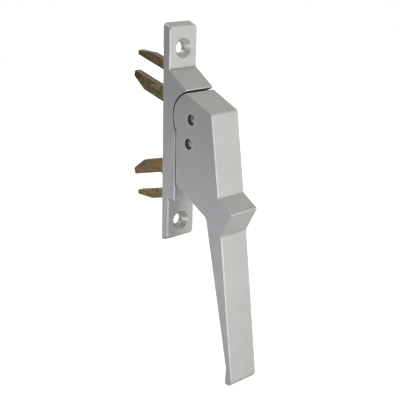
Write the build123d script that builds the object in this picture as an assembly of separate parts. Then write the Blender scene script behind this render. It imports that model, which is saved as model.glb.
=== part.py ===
from build123d import *
import math
import os

# Espagnolette window handle. Millimetres, X right, Y to the back, Z up.
# The origin is midway between the two screw holes, on the back face of the base.

# Base: a screw plate with a raised block that carries the lever.
WIDTH = 18.0
PLATE_THICKNESS = 5.0
PLATE_TOP = 55.8
PLATE_BOTTOM = -53.4
END_BEVEL = 1.8
PLATE_CORNER_RADIUS = 1.8
EDGE_BREAK = 0.35
SLOPE_TOP = 35.1
SLOPE_RUN = 10.25
SLOPE_DROP = 6.9
SLOPE_OVERRUN = 15.0
NOSE_RADIUS = 0.9
BLOCK_FRONT = 9.7
BLOCK_BOTTOM = -31.3
ROOF_THICKNESS = 2.0
CAVITY_STEP = 0.9
CAVITY_FLOOR_RISE = 3.6
CAVITY_HALF_WIDTH = 5.6

# Screw holes of the base.
SCREW_SPACING = 89.8
SCREW_HOLE_RADIUS = 3.0
COUNTERSINK_RADIUS = 5.25

# Lever: a hollow head that turns in the recess of the base, a ridge and a slim grip.
PIVOT_Y = -21.0
PIVOT_Z = 12.6
HEAD_RADIUS = 13.1
HEAD_CLEARANCE = 0.5
HEAD_SLOPE_START = 2.8
HEAD_CORNER = (-35.3, 17.7)
RIDGE_TOP = (-41.4, -22.7)
RIDGE_APEX = (-50.95, -28.6)
RIDGE_BOTTOM = (-44.1, -41.4)
GRIP_TIP_FRONT = (-54.4, -116.6)
GRIP_TIP_BOTTOM = (-53.2, -119.1)
GRIP_TIP_REAR = (-49.4, -119.5)
GRIP_FLARE = (-49.85, -110.0)
GRIP_ROOT_REAR = (-32.7, -34.8)
LEVER_BACK_BOTTOM = -22.3
LEVER_GAP = 0.45
LEVER_FRONT_WALL = 3.0
LEVER_SLOT_BOTTOM = -20.0
LEVER_SLOT_TOP = 8.2
HEAD_SLOT_ANGLE = 72.0
EAR_POCKET_RADIUS = 8.4
SHARP_ROUND = 0.8
SOFT_ROUND = 1.2
RIDGE_FOOT_ROUND = 1.5
FLARE_ROUND = 9.0
GRIP_ROOT_ROUND = 3.0
BACK_ROUND = 2.0

# Pins that show on the sides of the lever.
PIN_RADIUS = 2.9
PIN_RECESS = 1.3
DRIVE_PIN_Y = -19.4
DRIVE_PIN_Z = 0.2
LEVER_TRAVEL = 50.0

# Forks: two plates that swing about pins and carry the window rods.
FORK_THICKNESS = 3.0
FORK_CENTRE_Z = 1.2
FORK_PIVOT_Y = -6.3
FORK_PIVOT_OFFSET = 22.5
FORK_TILT = 15.0
FORK_REACH = 37.2
FORK_OUTER_EDGE = 10.0
FORK_OUTER_INSIDE = 4.8
FORK_INNER_INSIDE = -3.7
FORK_INNER_EDGE = -11.1
FORK_OUTER_TIP_LENGTH = 11.0
FORK_OUTER_TIP_TAPER = 2.7
FORK_INNER_TIP_LENGTH = 9.5
FORK_INNER_TIP_TAPER = 3.9
FORK_GAP_ROOT = 14.5
FORK_SHOULDER = 10.6
FORK_NECK_HALF = 5.0
FORK_NECK_START = 4.0
FORK_HUB_RADIUS = 3.5
FORK_CORNER_RADIUS = 1.0
FORK_PIN_RADIUS = 1.75
ARM_FINGER = 3.3
ARM_SLOT_DEPTH = 4.0
ARM_HALF_WIDTH = 3.2
ARM_REAR_WIDTH = 4.4
ARM_REAR_LENGTH = 12.0
ARM_RELIEF_OFFSET = 2.9
ARM_RELIEF_DROP = 6.8
ARM_RELIEF_RADIUS = 3.5
SPACER_RADIUS = 3.2

# Yoke: two plates on two pins, pulled forward by the drive pin.
YOKE_PIN_RADIUS = 1.25
YOKE_PIN_OFFSET = 4.2
YOKE_PIN_LEAD = 2.6
YOKE_PLATE_THICKNESS = 1.75
YOKE_RIM = 2.2
YOKE_PRONG = 3.2
YOKE_PRONG_TOP = 8.0
LOST_MOTION = 0.36

# Side plates: two steel plates that carry every pin.
SIDE_PLATE_THICKNESS = 1.7
EAR_RADIUS = 5.5
STRUT_RISE = 2.8
SIDE_PLATE_TOP = 30.6
SIDE_PLATE_FOOT = 4.1
SIDE_PLATE_FRONT = 9.5
SIDE_PLATE_WAIST = 6.9
GUIDE_FRONT = 15.6
GUIDE_BAND = 7.4
TAB_HALF_LENGTH = 3.0

# Back plate: closes the base and holds the side plates by their tabs.
BACK_PLATE_THICKNESS = 1.2
BACK_PLATE_HALF_WIDTH = 7.4
BACK_PLATE_END = 5.2
BACK_SCREW_INSET = 2.5
BACK_SCREW_RADIUS = 1.0
BACK_SCREW_HEAD_RADIUS = 1.8
BACK_SCREW_LENGTH = 4.0
BACK_SCREW_SLOT = 0.5
BACK_PLATE_CORNER_RADIUS = 1.2

# Clearances.
RUNNING_FIT = 0.05
LAYER_GAP = 0.2
SLIDE_GAP = 0.25
SLOT_GAP = 0.5

PIVOT = (PIVOT_Y, PIVOT_Z)
DRIVE_PIN = (DRIVE_PIN_Y, DRIVE_PIN_Z)
UPPER_FORK_PIVOT = (FORK_PIVOT_Y, FORK_CENTRE_Z + FORK_PIVOT_OFFSET)
LOWER_FORK_PIVOT = (FORK_PIVOT_Y, FORK_CENTRE_Z - FORK_PIVOT_OFFSET)
YOKE_PIN_Y = FORK_PIVOT_Y + YOKE_PIN_LEAD
UPPER_YOKE_PIN = (YOKE_PIN_Y, FORK_CENTRE_Z + YOKE_PIN_OFFSET)
LOWER_YOKE_PIN = (YOKE_PIN_Y, FORK_CENTRE_Z - YOKE_PIN_OFFSET)
YOKE_TRAVEL = (
    (PIVOT_Z - DRIVE_PIN_Z) * math.sin(math.radians(LEVER_TRAVEL))
    + (DRIVE_PIN_Y - PIVOT_Y) * (1 - math.cos(math.radians(LEVER_TRAVEL)))
)
LEVER_BACK = -(BLOCK_FRONT + LEVER_GAP)
HALF_WIDTH = WIDTH / 2
FORK_HALF = FORK_THICKNESS / 2
YOKE_INNER = FORK_HALF + LAYER_GAP
YOKE_OUTER = YOKE_INNER + YOKE_PLATE_THICKNESS
SIDE_INNER = YOKE_OUTER + LAYER_GAP
SIDE_OUTER = SIDE_INNER + SIDE_PLATE_THICKNESS
ROOF_SHIFT = ROOF_THICKNESS / math.hypot(SLOPE_RUN, SLOPE_DROP)
CAVITY_TOP = SLOPE_TOP - SLOPE_RUN * ROOF_SHIFT
CAVITY_BOTTOM = BLOCK_BOTTOM + CAVITY_STEP
ARM_DROP = FORK_PIVOT_OFFSET - YOKE_PIN_OFFSET
ARM_REACH = ARM_DROP + ARM_FINGER
ARM_SLOT_START = ARM_REACH - ARM_SLOT_DEPTH
OVERCUT = 30.0
MIRROR_PLANE = Plane.XY.offset(FORK_CENTRE_Z)


def slab(profile, x_from, x_to):
    """Extrude a profile drawn in Y and Z between two X positions."""
    return extrude(Plane.YZ.offset(x_from) * profile, amount=x_to - x_from)


def outline(*points):
    """Closed straight-sided profile through Y, Z points."""
    return make_face(Polyline(*points, close=True))


def disc(centre, radius):
    return Pos(*centre) * Circle(radius)


def box_profile(y_from, y_to, z_from, z_to):
    """Rectangle between two Y and two Z values."""
    return Pos((y_from + y_to) / 2, (z_from + z_to) / 2) * Rectangle(abs(y_to - y_from), abs(z_to - z_from))


def round_corner(profile, point, radius):
    """Round the corner of a profile that lies nearest to a point."""
    corner = profile.vertices().sort_by_distance(Vector(*point, 0))[0]
    return fillet(corner, radius)


def round_bar(centre, radius, x_from, x_to):
    return slab(disc(centre, radius), x_from, x_to)


def break_side_edges(solid):
    """Chamfer the outlines of the two side faces."""
    sides = solid.faces().filter_by(Axis.X).group_by(Axis.X)
    edges = ShapeList(sides[0].edges() + sides[-1].edges())
    return chamfer(edges, EDGE_BREAK)


def slope_point(run):
    """Point on the sloped top of the block, a given run in front of the crease."""
    return (-PLATE_THICKNESS - run, SLOPE_TOP - run * SLOPE_DROP / SLOPE_RUN)


def base_outline():
    block_top_z = PIVOT_Z - math.sqrt((HEAD_RADIUS + HEAD_CLEARANCE) ** 2 - (PIVOT_Y + BLOCK_FRONT) ** 2)
    profile = outline(
        (0, PLATE_TOP + END_BEVEL),
        (-PLATE_THICKNESS, PLATE_TOP),
        (-PLATE_THICKNESS, SLOPE_TOP),
        slope_point(SLOPE_OVERRUN),
        (-BLOCK_FRONT, block_top_z),
        (-BLOCK_FRONT, BLOCK_BOTTOM),
        (-PLATE_THICKNESS, BLOCK_BOTTOM),
        (-PLATE_THICKNESS, PLATE_BOTTOM),
        (0, PLATE_BOTTOM - END_BEVEL),
    )
    profile -= disc(PIVOT, HEAD_RADIUS + HEAD_CLEARANCE)
    nose = profile.vertices().sort_by(Axis.X)[0]
    return fillet(nose, NOSE_RADIUS)


def base_cavity():
    """Room for the side plates, yoke and forks, open to the back, the recess and the block's front."""
    slope_end = slope_point(SLOPE_RUN)
    roof_front = (slope_end[0] + SLOPE_DROP * ROOF_SHIFT, slope_end[1] - SLOPE_RUN * ROOF_SHIFT)
    roof_back = (SLOPE_DROP * ROOF_SHIFT - PLATE_THICKNESS, CAVITY_TOP)
    profile = outline(
        (OVERCUT, CAVITY_TOP),
        roof_back,
        roof_front,
        (-OVERCUT, PIVOT_Z),
        (-OVERCUT, BLOCK_BOTTOM - OVERCUT),
        (-PLATE_THICKNESS, BLOCK_BOTTOM - OVERCUT),
        (-PLATE_THICKNESS, CAVITY_BOTTOM + CAVITY_FLOOR_RISE),
        (-BACK_PLATE_THICKNESS, CAVITY_BOTTOM),
        (OVERCUT, CAVITY_BOTTOM),
    )
    return slab(profile, -CAVITY_HALF_WIDTH, CAVITY_HALF_WIDTH)


def back_plate_ends():
    return CAVITY_BOTTOM - BACK_PLATE_END, CAVITY_TOP + BACK_PLATE_END


def back_screw_heights():
    bottom, top = back_plate_ends()
    return bottom + BACK_SCREW_INSET, top - BACK_SCREW_INSET


def back_plate_blank(margin):
    bottom, top = back_plate_ends()
    blank = Box(
        2 * (BACK_PLATE_HALF_WIDTH + margin),
        BACK_PLATE_THICKNESS,
        top - bottom + 2 * margin,
    )
    blank = fillet(blank.edges().filter_by(Axis.Y), BACK_PLATE_CORNER_RADIUS)
    return Pos(0, -BACK_PLATE_THICKNESS / 2, (top + bottom) / 2) * blank


def back_screw(height):
    """Small countersunk screw, its head flush with the back face."""
    head_depth = BACK_SCREW_HEAD_RADIUS - BACK_SCREW_RADIUS
    section = make_face(
        Polyline(
            (0, 0),
            (BACK_SCREW_HEAD_RADIUS, 0),
            (BACK_SCREW_RADIUS, -head_depth),
            (BACK_SCREW_RADIUS, -BACK_SCREW_LENGTH),
            (0, -BACK_SCREW_LENGTH),
            close=True,
        )
    )
    return Pos(0, 0, height) * revolve(section, Axis.Y)


def slotted_screw(height):
    """Back plate screw with a driver slot across its head."""
    slot = Box(2 * BACK_SCREW_HEAD_RADIUS, 2 * BACK_SCREW_SLOT, BACK_SCREW_SLOT)
    return back_screw(height) - Pos(0, 0, height) * slot


def countersunk_hole(height):
    sink = COUNTERSINK_RADIUS - SCREW_HOLE_RADIUS
    section = make_face(
        Polyline(
            (0, OVERCUT),
            (SCREW_HOLE_RADIUS, OVERCUT),
            (SCREW_HOLE_RADIUS, sink - PLATE_THICKNESS),
            (COUNTERSINK_RADIUS, -PLATE_THICKNESS),
            (COUNTERSINK_RADIUS, -OVERCUT),
            (0, -OVERCUT),
            close=True,
        )
    )
    return Pos(0, 0, height) * revolve(section, Axis.Y)


def make_base():
    solid = slab(base_outline(), -HALF_WIDTH, HALF_WIDTH)
    corners = solid.edges().filter_by(lambda e: abs(abs(e.center().X) - HALF_WIDTH) < 0.01)
    ends = corners.filter_by(lambda e: e.center().Z > PLATE_TOP or e.center().Z < PLATE_BOTTOM)
    solid = fillet(ends, PLATE_CORNER_RADIUS)
    solid = break_side_edges(solid)
    solid -= base_cavity()
    solid -= back_plate_blank(LAYER_GAP)
    for height in back_screw_heights():
        solid -= back_screw(height)
    for height in (-SCREW_SPACING / 2, SCREW_SPACING / 2):
        solid -= countersunk_hole(height)
    return solid


def lever_outline():
    back_reach = LEVER_BACK - PIVOT_Y
    back_top = (LEVER_BACK, PIVOT_Z - math.sqrt(HEAD_RADIUS**2 - back_reach**2))
    slope_start = (PIVOT_Y + HEAD_SLOPE_START, PIVOT_Z + math.sqrt(HEAD_RADIUS**2 - HEAD_SLOPE_START**2))
    profile = outline(
        slope_start,
        HEAD_CORNER,
        RIDGE_TOP,
        RIDGE_APEX,
        RIDGE_BOTTOM,
        GRIP_TIP_FRONT,
        GRIP_TIP_BOTTOM,
        GRIP_TIP_REAR,
        GRIP_FLARE,
        GRIP_ROOT_REAR,
        (LEVER_BACK, LEVER_BACK_BOTTOM),
        back_top,
    )
    behind = outline(slope_start, (0, slope_start[1]), (0, back_top[1]), back_top)
    profile += disc(PIVOT, HEAD_RADIUS) & behind
    corner_radii = (
        (slope_start, SHARP_ROUND),
        (HEAD_CORNER, SOFT_ROUND),
        (RIDGE_TOP, SOFT_ROUND),
        (RIDGE_APEX, SHARP_ROUND),
        (RIDGE_BOTTOM, RIDGE_FOOT_ROUND),
        (GRIP_TIP_FRONT, SOFT_ROUND),
        (GRIP_TIP_BOTTOM, SHARP_ROUND),
        (GRIP_TIP_REAR, SOFT_ROUND),
        (GRIP_FLARE, FLARE_ROUND),
        (GRIP_ROOT_REAR, GRIP_ROOT_ROUND),
        ((LEVER_BACK, LEVER_BACK_BOTTOM), BACK_ROUND),
        (back_top, SHARP_ROUND),
    )
    for point, radius in corner_radii:
        profile = round_corner(profile, point, radius)
    return profile


def lever_cavity():
    """Slot between the cheeks of the lever, closed by its front wall and the top of its head."""
    lean = (HEAD_CORNER[0] - RIDGE_TOP[0]) / (HEAD_CORNER[1] - RIDGE_TOP[1])

    def wall_inside(z):
        return HEAD_CORNER[0] + (z - HEAD_CORNER[1]) * lean + LEVER_FRONT_WALL

    slot = outline(
        (0, LEVER_SLOT_TOP),
        (wall_inside(LEVER_SLOT_TOP), LEVER_SLOT_TOP),
        (wall_inside(LEVER_SLOT_BOTTOM), LEVER_SLOT_BOTTOM),
        (0, LEVER_SLOT_BOTTOM),
    )
    reach = HEAD_RADIUS * 1.5
    turn = math.radians(HEAD_SLOT_ANGLE)
    strut_room = outline(
        PIVOT,
        (PIVOT_Y + reach * math.cos(turn), PIVOT_Z + reach * math.sin(turn)),
        (0, PIVOT_Z + reach * math.sin(turn)),
        (0, 0),
        (PIVOT_Y, 0),
    )
    profile = slot + strut_room + disc(PIVOT, EAR_POCKET_RADIUS)
    return slab(profile, -CAVITY_HALF_WIDTH, CAVITY_HALF_WIDTH)


def make_lever():
    solid = slab(lever_outline(), -HALF_WIDTH, HALF_WIDTH)
    solid = break_side_edges(solid)
    solid -= lever_cavity()
    for centre in (PIVOT, DRIVE_PIN):
        solid -= round_bar(centre, PIN_RADIUS, -WIDTH, WIDTH)
    return solid


def lever_pin(centre):
    """Plain pin through both cheeks, its ends a little below the side faces."""
    reach = HALF_WIDTH - PIN_RECESS
    return round_bar(centre, PIN_RADIUS, -reach, reach)


def inner_pin(centre, radius):
    """Plain pin that ends flush with the outer faces of the side plates."""
    return round_bar(centre, radius, -SIDE_OUTER, SIDE_OUTER)


def fork_outline():
    """Fork drawn along its own axis, with its pin at the origin."""
    outer_tip = (FORK_REACH, FORK_OUTER_EDGE - FORK_OUTER_TIP_TAPER)
    inner_tip = (FORK_REACH, FORK_INNER_EDGE + FORK_INNER_TIP_TAPER)
    prongs = outline(
        (0, FORK_HUB_RADIUS),
        (FORK_NECK_START, FORK_NECK_HALF),
        (FORK_SHOULDER, FORK_NECK_HALF),
        (FORK_SHOULDER, FORK_OUTER_EDGE),
        (FORK_REACH - FORK_OUTER_TIP_LENGTH, FORK_OUTER_EDGE),
        outer_tip,
        (FORK_REACH, FORK_OUTER_INSIDE),
        (FORK_GAP_ROOT, FORK_OUTER_INSIDE),
        (FORK_GAP_ROOT, FORK_INNER_INSIDE),
        (FORK_REACH, FORK_INNER_INSIDE),
        inner_tip,
        (FORK_REACH - FORK_INNER_TIP_LENGTH, FORK_INNER_EDGE),
        (FORK_SHOULDER, FORK_INNER_EDGE),
        (FORK_SHOULDER, -FORK_NECK_HALF),
        (FORK_NECK_START, -FORK_NECK_HALF),
        (0, -FORK_HUB_RADIUS),
    )
    rounded = (
        (FORK_SHOULDER, FORK_NECK_HALF),
        (FORK_SHOULDER, FORK_OUTER_EDGE),
        outer_tip,
        (FORK_REACH, FORK_OUTER_INSIDE),
        (FORK_GAP_ROOT, FORK_OUTER_INSIDE),
        (FORK_GAP_ROOT, FORK_INNER_INSIDE),
        (FORK_REACH, FORK_INNER_INSIDE),
        inner_tip,
        (FORK_SHOULDER, FORK_INNER_EDGE),
        (FORK_SHOULDER, -FORK_NECK_HALF),
    )
    for point in rounded:
        prongs = round_corner(prongs, point, FORK_CORNER_RADIUS)
    return prongs


def arm_outline():
    """Arm from the fork's pin to the yoke pin, with an open slot at its end.

    A round relief in its front edge clears the head of the lifted lever.
    """
    slot_half = YOKE_PIN_RADIUS + SLIDE_GAP
    arm = box_profile(-ARM_HALF_WIDTH, ARM_HALF_WIDTH, -ARM_REACH, 0)
    arm = fillet(arm.vertices().group_by(Axis.Y)[0], FORK_CORNER_RADIUS)
    arm += outline(
        (0, 0),
        (ARM_REAR_WIDTH, 0),
        (ARM_REAR_WIDTH, -ARM_REAR_LENGTH),
        (ARM_HALF_WIDTH, -ARM_SLOT_START),
        (0, -ARM_REAR_LENGTH),
    )
    arm -= disc((-ARM_RELIEF_OFFSET, -ARM_RELIEF_DROP), ARM_RELIEF_RADIUS)
    slot = box_profile(-slot_half, slot_half, -ARM_REACH - OVERCUT, -ARM_SLOT_START)
    return arm - slot - disc((0, -ARM_SLOT_START), slot_half)


def make_upper_fork():
    arm_angle = math.degrees(math.atan2(YOKE_PIN_LEAD, ARM_DROP))
    profile = Rot(0, 0, FORK_TILT) * fork_outline()
    profile += Rot(0, 0, arm_angle) * arm_outline()
    profile += disc((0, 0), FORK_HUB_RADIUS)
    profile -= disc((0, 0), FORK_PIN_RADIUS + RUNNING_FIT)
    return slab(Pos(*UPPER_FORK_PIVOT) * profile, -FORK_HALF, FORK_HALF)


def make_spacers(centre):
    """Two loose washers that keep a fork midway between the side plates."""
    ring = disc(centre, SPACER_RADIUS) - disc(centre, FORK_PIN_RADIUS + RUNNING_FIT)
    start = FORK_HALF + RUNNING_FIT
    end = SIDE_INNER - RUNNING_FIT
    return [slab(ring, start, end), slab(ring, -end, -start)]


def yoke_outline():
    """Yoke plate with an open slot for the drive pin and two pin holes at its rear."""
    slot_front = DRIVE_PIN_Y - PIN_RADIUS - LOST_MOTION - SLIDE_GAP
    slot_rear = DRIVE_PIN_Y + PIN_RADIUS + SLIDE_GAP
    slot_bottom = DRIVE_PIN_Z - PIN_RADIUS - 2 * SLIDE_GAP
    bottom = FORK_CENTRE_Z - YOKE_PIN_OFFSET - 1.5 * YOKE_RIM
    plate = box_profile(slot_front - YOKE_PRONG, YOKE_PIN_Y + YOKE_RIM, bottom, YOKE_PRONG_TOP)
    plate = fillet(plate.vertices(), YOKE_RIM / 2)
    plate -= box_profile(slot_front, slot_rear, slot_bottom, YOKE_PRONG_TOP + OVERCUT)
    for centre in (UPPER_YOKE_PIN, LOWER_YOKE_PIN):
        plate -= disc(centre, YOKE_PIN_RADIUS)
    return plate


def side_plate_outline():
    rear = -BACK_PLATE_THICKNESS
    foot = LOWER_FORK_PIVOT[1] - SIDE_PLATE_FOOT
    profile = box_profile(-SIDE_PLATE_FRONT, rear, foot, FORK_CENTRE_Z)
    profile += box_profile(-SIDE_PLATE_WAIST, rear, FORK_CENTRE_Z, SIDE_PLATE_TOP)
    guide_bottom = FORK_CENTRE_Z - GUIDE_BAND
    profile += box_profile(-GUIDE_FRONT, rear, guide_bottom, PIVOT_Z + STRUT_RISE)
    profile += box_profile(PIVOT_Y, rear, PIVOT_Z - EAR_RADIUS, PIVOT_Z + STRUT_RISE)
    profile += disc(PIVOT, EAR_RADIUS)
    profile += disc(UPPER_FORK_PIVOT, FORK_HUB_RADIUS)
    for centre in (UPPER_FORK_PIVOT, LOWER_FORK_PIVOT):
        height = centre[1]
        profile += box_profile(2 * rear, 0, height - TAB_HALF_LENGTH, height + TAB_HALF_LENGTH)
        profile -= disc(centre, FORK_PIN_RADIUS)
    profile -= disc(PIVOT, PIN_RADIUS + RUNNING_FIT)
    guide_half = YOKE_PIN_RADIUS + RUNNING_FIT
    for centre in (UPPER_YOKE_PIN, LOWER_YOKE_PIN):
        profile -= box_profile(-OVERCUT, YOKE_PIN_Y, centre[1] - guide_half, centre[1] + guide_half)
        profile -= disc(centre, guide_half)
    return profile


def make_back_plate():
    """Cover with one long slot for both forks, and slots for the tabs of the side plates."""
    plate = back_plate_blank(0)
    swing = math.radians(FORK_TILT)
    slot_half = -FORK_PIVOT_Y * math.tan(swing) + FORK_NECK_HALF / math.cos(swing) + SLOT_GAP
    slot_width = FORK_THICKNESS + 2 * SLOT_GAP
    slot_length = 2 * (FORK_PIVOT_OFFSET + slot_half)
    plate -= Pos(0, 0, FORK_CENTRE_Z) * Box(slot_width, OVERCUT, slot_length)
    for centre in (UPPER_FORK_PIVOT, LOWER_FORK_PIVOT):
        height = centre[1]
        for side in (-1, 1):
            middle = side * (SIDE_INNER + SIDE_OUTER) / 2
            plate -= Pos(middle, 0, height) * Box(SIDE_PLATE_THICKNESS, OVERCUT, 2 * TAB_HALF_LENGTH)
    for height in back_screw_heights():
        plate -= back_screw(height)
    return plate


upper_fork = make_upper_fork()
side_plate = side_plate_outline()
yoke_plate = yoke_outline()

nodes = {
    "base": make_base(),
    "back_plate": make_back_plate(),
    "back_plate_screws": [slotted_screw(height) for height in back_screw_heights()],
    "left_side_plate": slab(side_plate, -SIDE_OUTER, -SIDE_INNER),
    "right_side_plate": slab(side_plate, SIDE_INNER, SIDE_OUTER),
    "lever": make_lever(),
    "pivot_pin": lever_pin(PIVOT),
    "drive_pin": lever_pin(DRIVE_PIN),
    "left_yoke_plate": slab(yoke_plate, -YOKE_OUTER, -YOKE_INNER),
    "right_yoke_plate": slab(yoke_plate, YOKE_INNER, YOKE_OUTER),
    "upper_yoke_pin": inner_pin(UPPER_YOKE_PIN, YOKE_PIN_RADIUS),
    "lower_yoke_pin": inner_pin(LOWER_YOKE_PIN, YOKE_PIN_RADIUS),
    "upper_fork": upper_fork,
    "lower_fork": mirror(upper_fork, MIRROR_PLANE),
    "upper_fork_pin": inner_pin(UPPER_FORK_PIVOT, FORK_PIN_RADIUS),
    "lower_fork_pin": inner_pin(LOWER_FORK_PIVOT, FORK_PIN_RADIUS),
    "upper_fork_spacers": make_spacers(UPPER_FORK_PIVOT),
    "lower_fork_spacers": make_spacers(LOWER_FORK_PIVOT),
}

os.makedirs("parts", exist_ok=True)
for name, shape in nodes.items():
    solids = shape if isinstance(shape, list) else [shape]
    export_step(Compound(children=solids) if len(solids) > 1 else solids[0], f"parts/{name}.step")
print(f"yoke travel {YOKE_TRAVEL:.3f} mm")
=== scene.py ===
import math
from typing import NamedTuple

import bmesh
import bpy
from mathutils import Matrix, Vector


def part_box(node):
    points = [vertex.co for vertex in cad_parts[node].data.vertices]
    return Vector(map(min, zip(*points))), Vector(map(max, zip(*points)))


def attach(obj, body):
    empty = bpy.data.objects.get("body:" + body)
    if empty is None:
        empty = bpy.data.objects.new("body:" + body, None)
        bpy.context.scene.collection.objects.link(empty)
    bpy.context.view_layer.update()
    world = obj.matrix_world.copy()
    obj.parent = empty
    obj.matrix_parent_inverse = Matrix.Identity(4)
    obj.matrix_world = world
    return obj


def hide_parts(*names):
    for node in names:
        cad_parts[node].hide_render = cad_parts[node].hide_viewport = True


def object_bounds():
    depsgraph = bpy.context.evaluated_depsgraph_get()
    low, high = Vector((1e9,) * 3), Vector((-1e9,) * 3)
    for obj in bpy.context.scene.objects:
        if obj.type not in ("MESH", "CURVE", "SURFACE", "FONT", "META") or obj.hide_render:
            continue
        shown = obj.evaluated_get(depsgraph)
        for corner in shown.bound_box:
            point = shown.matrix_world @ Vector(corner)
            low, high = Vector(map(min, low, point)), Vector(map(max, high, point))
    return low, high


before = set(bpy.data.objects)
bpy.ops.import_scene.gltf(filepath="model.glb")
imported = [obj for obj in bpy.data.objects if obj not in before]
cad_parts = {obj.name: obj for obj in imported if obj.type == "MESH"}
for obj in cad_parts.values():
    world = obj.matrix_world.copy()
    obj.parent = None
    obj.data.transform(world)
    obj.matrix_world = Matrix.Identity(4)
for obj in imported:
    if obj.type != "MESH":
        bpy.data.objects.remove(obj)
cad_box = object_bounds()

MM = 0.001
WHITE = (1.0, 1.0, 1.0)

# Camera, fitted to the photograph.
CAMERA_EYE = Vector((-304.45, -336.95, 108.38)) * MM
CAMERA_RIGHT = Vector((0.72659, -0.68672, 0.02196))
CAMERA_UP = Vector((0.19140, 0.23300, 0.95346))
SENSOR_WIDTH = 36.0
FOCAL_PIXELS = 907.84
IMAGE_PIXELS = 400
CLIP_NEAR = 10 * MM
CLIP_FAR = 20.0

# Surroundings: their light on the object, from its left and from its right.
LEFT_LIGHT = (0.15, 0.15, 0.175)
RIGHT_LIGHT = (0.70, 0.70, 0.655)

# Floor, in metres.
FLOOR_DROP = 0.4
FLOOR_HALF = 3.0
FLOOR_GLOW = 1.0
FLOOR_TONES = ((0.93, 0.93, 0.93), (0.95, 0.95, 0.95))

# What the lamps point at.
MIDDLE = (0.0, -0.02, -0.03)
GRIP = (0.0, -0.04, -0.08)
COOL_WHITE = (0.95, 0.92, 1.0)

# Range that most of a noise stays in.
NOISE_LOW = 0.3
NOISE_HIGH = 0.7

# Rays that each occlusion node sends.
OCCLUSION_RAYS = 8

# Satin silver.
SILVER_NODES = ("base", "lever")
SILVER_TONES = ((0.575, 0.578, 0.57), (0.615, 0.615, 0.605))
SILVER_SPECK = (0.22, 0.22, 0.225)
SILVER_SPECK_SHARE = 0.14
# Pale edges: partly wear, partly painted highlight.
SILVER_WORN_AND_HIGHLIGHT = (0.95, 0.95, 0.94)
SILVER_EDGE_DEPTH = 0.7 * MM
# Painted shade: dark colour put into narrow gaps between parts, within SILVER_GAP_WIDTH.
SILVER_GAP_SHADE = (0.03, 0.03, 0.035)
SILVER_GAP_WIDTH = 1.5 * MM

# Yellow passivated zinc, with its clouds from olive through gold, pink and green to pale gold.
ZINC_NODES = (
    "upper_fork",
    "lower_fork",
    "back_plate",
    "left_side_plate",
    "right_side_plate",
    "left_yoke_plate",
    "right_yoke_plate",
)
ZINC_CLOUDS = (
    (0.30, (0.13, 0.13, 0.06)),
    (0.42, (0.36, 0.28, 0.10)),
    (0.50, (0.33, 0.20, 0.135)),
    (0.58, (0.18, 0.20, 0.075)),
    (0.70, (0.46, 0.38, 0.17)),
)
ZINC_STREAK = (0.09, 0.08, 0.05)
ZINC_STREAK_SHARE = 0.4
# Pale edges: partly wear, partly painted highlight.
ZINC_WORN_AND_HIGHLIGHT = (0.60, 0.56, 0.42)
ZINC_EDGE_DEPTH = 0.35 * MM

# Lever pins: PIN_DOME is how far the middle of a domed end stands out from its rim.
LEVER_PIN_NODES = ("pivot_pin", "drive_pin")
PIN_DOME = 0.5 * MM
PIN_RINGS = 8
PIN_SIDES = 64
PIN_SHARP = math.radians(40.0)
PIN_WELD = 0.001 * MM
PIN_BODY = "handle"
PIN_CLOUDS = ((0.35, (0.24, 0.32, 0.31)), (0.65, (0.56, 0.64, 0.62)))
# Painted highlight: pale colour along the pins' rims.
PIN_RIM_HIGHLIGHT = (0.75, 0.80, 0.78)
PIN_HIGHLIGHT_DEPTH = 0.6 * MM

# Bright steel.
STEEL_NODES = (
    "back_plate_screws",
    "upper_yoke_pin",
    "lower_yoke_pin",
    "upper_fork_pin",
    "lower_fork_pin",
    "upper_fork_spacers",
    "lower_fork_spacers",
)
STEEL_TONES = ((0.50, 0.51, 0.52), (0.62, 0.63, 0.64))


class Lamp(NamedTuple):
    """Square soft lamp: where it hangs, what it points at, its width in metres and its power in watts."""

    place: tuple
    target: tuple
    width: float
    power: float
    colour: tuple = WHITE


LAMPS = {
    "front_key": Lamp(place=(0.20, -0.96, 0.02), target=MIDDLE, width=0.4, power=3.5),
    "edge_light": Lamp(place=(-0.62, -0.60, -0.17), target=MIDDLE, width=0.24, power=1.4),
    "left_fill": Lamp(place=(-0.36, 0.32, -0.26), target=GRIP, width=0.26, power=0.25, colour=COOL_WHITE),
    "back_fill": Lamp(place=(-0.15, 0.62, 0.65), target=MIDDLE, width=0.6, power=2.2),
}


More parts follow.
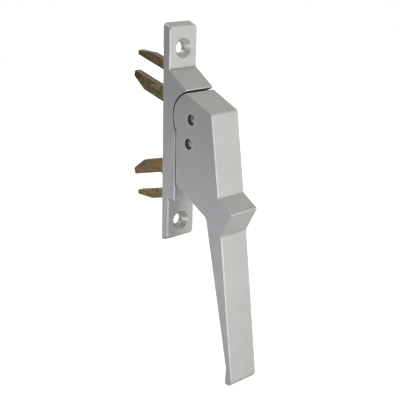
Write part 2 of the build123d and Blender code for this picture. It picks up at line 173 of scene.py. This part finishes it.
class Shader:
    """One material, with methods that add and link its nodes."""

    def __init__(self, name, metallic):
        self.material = bpy.data.materials.new(name)
        self.material.use_nodes = True
        self.tree = self.material.node_tree
        self.surface = self.tree.nodes["Principled BSDF"]
        self.surface.inputs["Metallic"].default_value = metallic
        coordinates = self.tree.nodes.new("ShaderNodeTexCoord")
        self.place = coordinates.outputs["Object"]

    def link(self, source, target):
        self.tree.links.new(source, target)

    def stretched(self, scale):
        """Object coordinates with their own scale along X, Y and Z."""
        mapping = self.tree.nodes.new("ShaderNodeMapping")
        mapping.inputs["Scale"].default_value = scale
        self.link(self.place, mapping.inputs["Vector"])
        return mapping.outputs["Vector"]

    def noise(self, vector, scale, detail=3.0, roughness=0.55, distortion=0.0):
        """Soft noise with about this many clouds in a metre."""
        node = self.tree.nodes.new("ShaderNodeTexNoise")
        node.inputs["Scale"].default_value = scale
        node.inputs["Detail"].default_value = detail
        node.inputs["Roughness"].default_value = roughness
        node.inputs["Distortion"].default_value = distortion
        self.link(vector, node.inputs["Vector"])
        return node.outputs["Fac"]

    def ramp(self, factor, stops):
        """Colour ramp from (position, colour) stops."""
        node = self.tree.nodes.new("ShaderNodeValToRGB")
        elements = node.color_ramp.elements
        while len(elements) < len(stops):
            elements.new(0.5)
        for element, (position, colour) in zip(elements, stops):
            element.position = position
            element.color = (*colour, 1.0)
        self.link(factor, node.inputs["Fac"])
        return node.outputs["Color"]

    def tones(self, factor, dark, light):
        """Colour that drifts between two tones over the range of a noise."""
        return self.ramp(factor, ((NOISE_LOW, dark), (NOISE_HIGH, light)))

    def span(self, factor, low, high, start=NOISE_LOW, end=NOISE_HIGH):
        """Map a factor from start and end to low and high."""
        node = self.tree.nodes.new("ShaderNodeMapRange")
        node.inputs["From Min"].default_value = start
        node.inputs["From Max"].default_value = end
        node.inputs["To Min"].default_value = low
        node.inputs["To Max"].default_value = high
        self.link(factor, node.inputs["Value"])
        return node.outputs["Result"]

    def product(self, first, second):
        node = self.tree.nodes.new("ShaderNodeMath")
        node.operation = "MULTIPLY"
        self.link(first, node.inputs[0])
        self.link(second, node.inputs[1])
        return node.outputs["Value"]

    def mix(self, factor, first, second):
        """Colour between a linked colour and a fixed one."""
        node = self.tree.nodes.new("ShaderNodeMix")
        node.data_type = "RGBA"
        self.link(factor, node.inputs["Factor"])
        sockets = {socket.name: socket for socket in node.inputs if socket.type == "RGBA"}
        self.link(first, sockets["A"])
        sockets["B"].default_value = (*second, 1.0)
        return [socket for socket in node.outputs if socket.type == "RGBA"][0]

    def openness(self, distance):
        """Share of the surroundings that stays clear within a distance."""
        node = self.tree.nodes.new("ShaderNodeAmbientOcclusion")
        node.samples = OCCLUSION_RAYS
        node.inputs["Distance"].default_value = distance
        return node.outputs["AO"]

    def thin_edge_factor(self, depth):
        """Factor that is high along outer edges, where the piece is thin behind its surface."""
        node = self.tree.nodes.new("ShaderNodeAmbientOcclusion")
        node.samples = OCCLUSION_RAYS
        node.inside = True
        node.only_local = True
        node.inputs["Distance"].default_value = depth
        return self.span(node.outputs["AO"], 1.0, 0.0, start=0.6, end=0.97)

    def paint(self, colour):
        self.link(colour, self.surface.inputs["Base Color"])

    def roughen(self, factor, low, high):
        """Roughness that follows a noise between two values."""
        self.link(self.span(factor, low, high), self.surface.inputs["Roughness"])

    def bump(self, height, strength, distance):
        node = self.tree.nodes.new("ShaderNodeBump")
        node.inputs["Strength"].default_value = strength
        node.inputs["Distance"].default_value = distance
        self.link(height, node.inputs["Height"])
        self.link(node.outputs["Normal"], self.surface.inputs["Normal"])


def silver_finish():
    """Satin anodised aluminium: finely grained silver, with paler edges that are partly wear and partly
    painted highlight, and painted shade in narrow gaps.
    """
    shader = Shader("satin_silver", metallic=0.55)
    cloud = shader.noise(shader.place, scale=55.0)
    speck = shader.noise(shader.stretched((1.0, 1.0, 0.6)), scale=750.0, detail=5.0, roughness=0.7)
    grain = shader.noise(shader.stretched((1.0, 1.0, 0.22)), scale=2600.0)
    tone = shader.tones(cloud, *SILVER_TONES)
    specked = shader.mix(shader.span(speck, 0.0, SILVER_SPECK_SHARE), tone, SILVER_SPECK)
    openness = shader.openness(SILVER_GAP_WIDTH)
    # Painted highlight on edges is held back inside narrow gaps, where shade falls.
    open_to_light = shader.span(openness, 0.0, 1.0, start=0.72, end=0.95)
    # Painted shade: colour darkened inside narrow gaps, where shade falls.
    gap_shade = shader.span(openness, 1.0, 0.0, start=0.66, end=0.91)
    # Paler edges: partly wear, partly painted highlight.
    wear_and_highlight = shader.product(shader.thin_edge_factor(SILVER_EDGE_DEPTH), open_to_light)
    worn_and_highlit = shader.mix(wear_and_highlight, specked, SILVER_WORN_AND_HIGHLIGHT)
    shader.paint(shader.mix(gap_shade, worn_and_highlit, SILVER_GAP_SHADE))
    shader.roughen(grain, low=0.38, high=0.50)
    shader.bump(grain, strength=0.2, distance=0.06 * MM)
    return shader.material


def zinc_finish():
    """Yellow passivated zinc: streaky gold with olive, pink and green clouds."""
    shader = Shader("yellow_zinc", metallic=0.85)
    drift = shader.noise(shader.stretched((1.0, 0.45, 1.0)), scale=170.0, detail=2.0, distortion=0.7)
    streak = shader.noise(shader.stretched((1.0, 0.12, 1.0)), scale=800.0)
    fine = shader.noise(shader.stretched((1.0, 0.3, 1.0)), scale=1900.0)
    clouded = shader.ramp(drift, ZINC_CLOUDS)
    streaked = shader.mix(shader.span(streak, 0.0, ZINC_STREAK_SHARE), clouded, ZINC_STREAK)
    # Paler edges: partly wear, partly painted highlight.
    shader.paint(shader.mix(shader.thin_edge_factor(ZINC_EDGE_DEPTH), streaked, ZINC_WORN_AND_HIGHLIGHT))
    shader.roughen(fine, low=0.36, high=0.52)
    shader.bump(fine, strength=0.1, distance=0.05 * MM)
    return shader.material


def pin_finish():
    """Lever pins: dull greenish grey steel with a painted highlight along the rim."""
    shader = Shader("pin_steel", metallic=0.6)
    cloud = shader.noise(shader.place, scale=900.0)
    clouded = shader.ramp(cloud, PIN_CLOUDS)
    # Painted highlight along the rim.
    shader.paint(shader.mix(shader.thin_edge_factor(PIN_HIGHLIGHT_DEPTH), clouded, PIN_RIM_HIGHLIGHT))
    shader.roughen(cloud, low=0.3, high=0.45)
    shader.bump(cloud, strength=0.1, distance=0.05 * MM)
    return shader.material


def steel_finish():
    """Bright zinc on small pins, spacers and screws."""
    shader = Shader("bright_steel", metallic=0.95)
    fine = shader.noise(shader.place, scale=1500.0)
    shader.paint(shader.tones(fine, *STEEL_TONES))
    shader.roughen(fine, low=0.22, high=0.38)
    shader.bump(fine, strength=0.08, distance=0.04 * MM)
    return shader.material


def floor_finish():
    """Matt pale floor that glows, so that it stays white."""
    shader = Shader("pale_floor", metallic=0.0)
    cloud = shader.noise(shader.place, scale=3.0, detail=2.0)
    shader.paint(shader.tones(cloud, *FLOOR_TONES))
    shader.surface.inputs["Roughness"].default_value = 0.9
    shader.surface.inputs["Emission Color"].default_value = (*WHITE, 1.0)
    shader.surface.inputs["Emission Strength"].default_value = FLOOR_GLOW
    return shader.material


def finish_nodes(names, material):
    """Give nodes of the frame one material."""
    for name in names:
        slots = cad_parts[name].data.materials
        slots.clear()
        slots.append(material)


def pin_mesh(node):
    """Pin along X, turned from its profile. The middles of its domed ends lie at the ends of the solid."""
    low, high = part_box(node)
    centre = (low + high) / 2
    radius = (high.z - low.z) / 2
    reach = (high.x - low.x) / 2
    shares = [ring / PIN_RINGS for ring in range(PIN_RINGS + 1)]
    end = [(reach - PIN_DOME * share ** 2, radius * share) for share in shares]
    profile = [(-along, out) for along, out in end] + end[::-1]
    form = bmesh.new()
    points = [form.verts.new(centre + Vector((along, 0.0, out))) for along, out in profile]
    lines = [form.edges.new(pair) for pair in zip(points, points[1:])]
    bmesh.ops.spin(
        form,
        geom=points + lines,
        cent=centre,
        axis=(1.0, 0.0, 0.0),
        angle=2 * math.pi,
        steps=PIN_SIDES,
    )
    bmesh.ops.remove_doubles(form, verts=form.verts, dist=PIN_WELD)
    bmesh.ops.recalc_face_normals(form, faces=form.faces)
    mesh = bpy.data.meshes.new("domed_" + node)
    form.to_mesh(mesh)
    form.free()
    mesh.shade_smooth()
    mesh.set_sharp_from_angle(angle=PIN_SHARP)
    return mesh


def add_domed_pin(node, material):
    """Show a pin with domed ends in place of a straight one."""
    mesh = pin_mesh(node)
    mesh.materials.append(material)
    pin = bpy.data.objects.new("domed_" + node, mesh)
    bpy.context.scene.collection.objects.link(pin)
    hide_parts(node)
    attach(pin, PIN_BODY)


def add_camera():
    """Camera at the photograph's place, with its angle of view."""
    data = bpy.data.cameras.new("camera")
    data.sensor_width = SENSOR_WIDTH
    data.lens = SENSOR_WIDTH * FOCAL_PIXELS / IMAGE_PIXELS
    data.clip_start = CLIP_NEAR
    data.clip_end = CLIP_FAR
    camera = bpy.data.objects.new("camera", data)
    right = CAMERA_RIGHT.normalized()
    back = right.cross(CAMERA_UP).normalized()
    up = back.cross(right)
    turn = Matrix((right, up, back)).transposed().to_4x4()
    camera.matrix_world = Matrix.Translation(CAMERA_EYE) @ turn
    bpy.context.scene.collection.objects.link(camera)
    bpy.context.scene.camera = camera


def add_floor():
    """Pale floor well below the handle, which hangs clear of it as on a window."""
    level = cad_box[0].z - FLOOR_DROP
    corners = [
        (-FLOOR_HALF, -FLOOR_HALF, level),
        (FLOOR_HALF, -FLOOR_HALF, level),
        (FLOOR_HALF, FLOOR_HALF, level),
        (-FLOOR_HALF, FLOOR_HALF, level),
    ]
    mesh = bpy.data.meshes.new("floor")
    mesh.from_pydata(corners, [], [(0, 1, 2, 3)])
    mesh.materials.append(floor_finish())
    floor = bpy.data.objects.new("floor", mesh)
    floor.visible_diffuse = False
    floor.visible_glossy = False
    bpy.context.scene.collection.objects.link(floor)


def add_lamp(name, lamp):
    data = bpy.data.lights.new(name, "AREA")
    data.energy = lamp.power
    data.size = lamp.width
    data.color = lamp.colour
    light = bpy.data.objects.new(name, data)
    light.location = lamp.place
    light.rotation_mode = "QUATERNION"
    light.rotation_quaternion = (Vector(lamp.target) - Vector(lamp.place)).to_track_quat("-Z", "Y")
    bpy.context.scene.collection.objects.link(light)


def add_world():
    """Surroundings that light the object from dim on its left to bright on its right, seen as white."""
    world = bpy.data.worlds.new("studio")
    bpy.context.scene.world = world
    world.use_nodes = True
    tree = world.node_tree
    direction = tree.nodes.new("ShaderNodeTexCoord")
    axes = tree.nodes.new("ShaderNodeSeparateXYZ")
    tree.links.new(direction.outputs["Generated"], axes.inputs["Vector"])
    across = tree.nodes.new("ShaderNodeMapRange")
    across.inputs["From Min"].default_value = -1.0
    tree.links.new(axes.outputs["X"], across.inputs["Value"])
    lighting = tree.nodes.new("ShaderNodeValToRGB")
    lighting.color_ramp.elements[0].color = (*LEFT_LIGHT, 1.0)
    lighting.color_ramp.elements[1].color = (*RIGHT_LIGHT, 1.0)
    tree.links.new(across.outputs["Result"], lighting.inputs["Fac"])
    rays = tree.nodes.new("ShaderNodeLightPath")
    backdrop = tree.nodes.new("ShaderNodeMixRGB")
    backdrop.inputs["Color2"].default_value = (*WHITE, 1.0)
    tree.links.new(rays.outputs["Is Camera Ray"], backdrop.inputs["Fac"])
    tree.links.new(lighting.outputs["Color"], backdrop.inputs["Color1"])
    tree.links.new(backdrop.outputs["Color"], tree.nodes["Background"].inputs["Color"])


add_camera()
add_floor()
add_world()
for lamp_name, lamp in LAMPS.items():
    add_lamp(lamp_name, lamp)
finish_nodes(SILVER_NODES, silver_finish())
finish_nodes(ZINC_NODES, zinc_finish())
finish_nodes(STEEL_NODES, steel_finish())
pin_steel = pin_finish()
for pin_node in LEVER_PIN_NODES:
    add_domed_pin(pin_node, pin_steel)
bpy.context.scene.view_settings.view_transform = "Standard"
